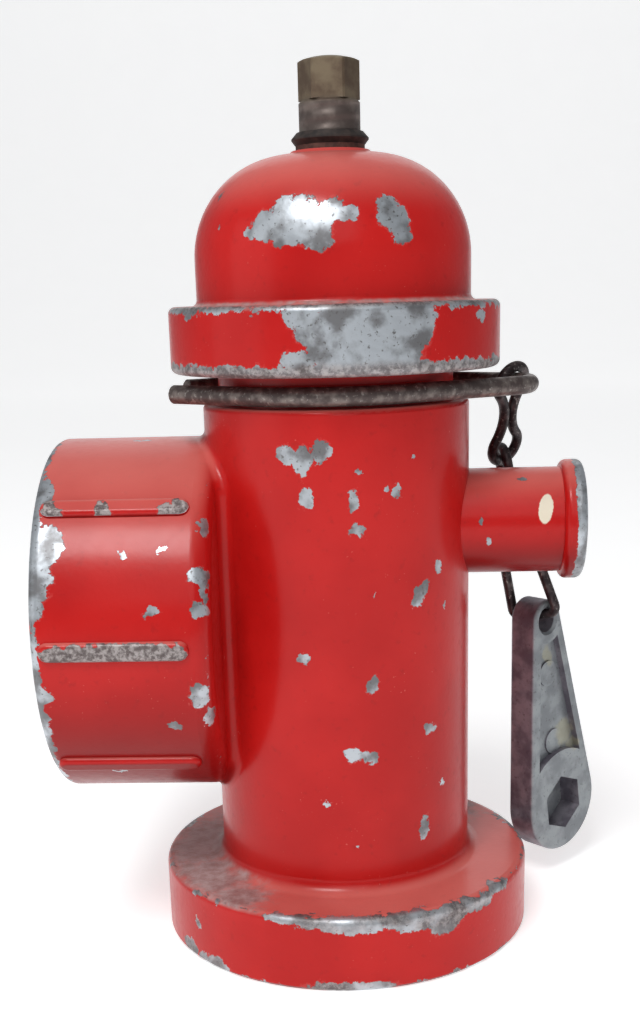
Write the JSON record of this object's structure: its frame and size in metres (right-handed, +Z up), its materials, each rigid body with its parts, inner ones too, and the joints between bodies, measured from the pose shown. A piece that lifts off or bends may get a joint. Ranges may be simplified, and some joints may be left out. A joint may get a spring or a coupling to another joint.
{
  "type": "toy fire hydrant",
  "caption": "Small die-cast hydrant with a garden-hose coupling, domed bonnet, turning valve stem, side spout and a chained wrench.",
  "frame": {"origin": "centre of the foot's flat underside", "axes": "+Z up the barrel, +X out of the spout, the hose coupling opens along -X"},
  "size_m": [0.0588, 0.04, 0.0894],
  "materials": {
    "red_paint": "worn gloss enamel on a zinc casting",
    "raw_zinc": "dull bare zinc casting",
    "brass": "aged brass",
    "clip_wire": "tarnished steel wire",
    "chain_wire": "dark oxidised steel wire",
    "rubber": "aged black rubber",
    "fibre": "pressed red-brown fibre gasket",
    "collar_fibre": "dark red-brown gland collar"
  },
  "bodies": {
    "root": {"hydrant_casting": "red_paint", "base_plug": "raw_zinc", "base_plug_gasket": "fibre", "hose_washer": "rubber", "bonnet": "red_paint", "bonnet_gasket": "fibre", "packing_washer": "brass", "stem_packing": "fibre", "gland_collar": "collar_fibre", "stem_seal": "rubber", "seat_insert": "brass"},
    "washer_carrier": {"washer_cup": "brass", "valve_washer": "rubber", "washer_screw": "brass"},
    "stem": {"valve_stem": "brass"},
    "clip": {"neck_clip": "clip_wire"},
    "link_a": {"upper_link": "chain_wire"},
    "link_b": {"lower_link": "chain_wire"},
    "ring": {"key_ring": "chain_wire"},
    "key": {"wrench": "raw_zinc"}
  },
  "joints": [
    {"name": "valve_lift", "type": "slide", "parent": "root", "child": "washer_carrier", "axis": [0, 0, 1], "range_m": [0, 0.00254]},
    {"name": "stem_turn", "type": "hinge", "parent": "washer_carrier", "child": "stem", "pos_m": [0, 0, 0.07], "axis": [0, 0, 1], "range_deg": [0, 720]},
    {"name": "clip_turn", "type": "hinge", "parent": "root", "child": "clip", "pos_m": [0, 0, 0.0581], "axis": [0, 0, 1], "range_deg": [0, 85]},
    {"name": "upper_link_swing", "type": "hinge", "parent": "clip", "child": "link_a", "pos_m": [0.01828, 0.00342, 0.0581], "axis": [0.7431, -0.6691, 0], "range_deg": [0, 40]},
    {"name": "lower_link_swing", "type": "hinge", "parent": "link_a", "child": "link_b", "pos_m": [0.01798, 0.00843, 0.04942], "axis": [0.9754, 0.1421, 0.1684], "range_deg": [0, 40]},
    {"name": "ring_swing", "type": "hinge", "parent": "link_b", "child": "ring", "pos_m": [0.01975, 0.00843, 0.03917], "axis": [0.14, -0.9899, 0.0242], "range_deg": [0, 18]},
    {"name": "wrench_swing", "type": "hinge", "parent": "ring", "child": "key", "pos_m": [0.02188, 0.00886, 0.03133], "axis": [0.7098, -0.7044, 0.0027], "range_deg": [0, 90]}
  ],
  "couplings": [
    {"joint": "stem_turn", "follows": "valve_lift", "rad_per_m": 4947.4}
  ]
}
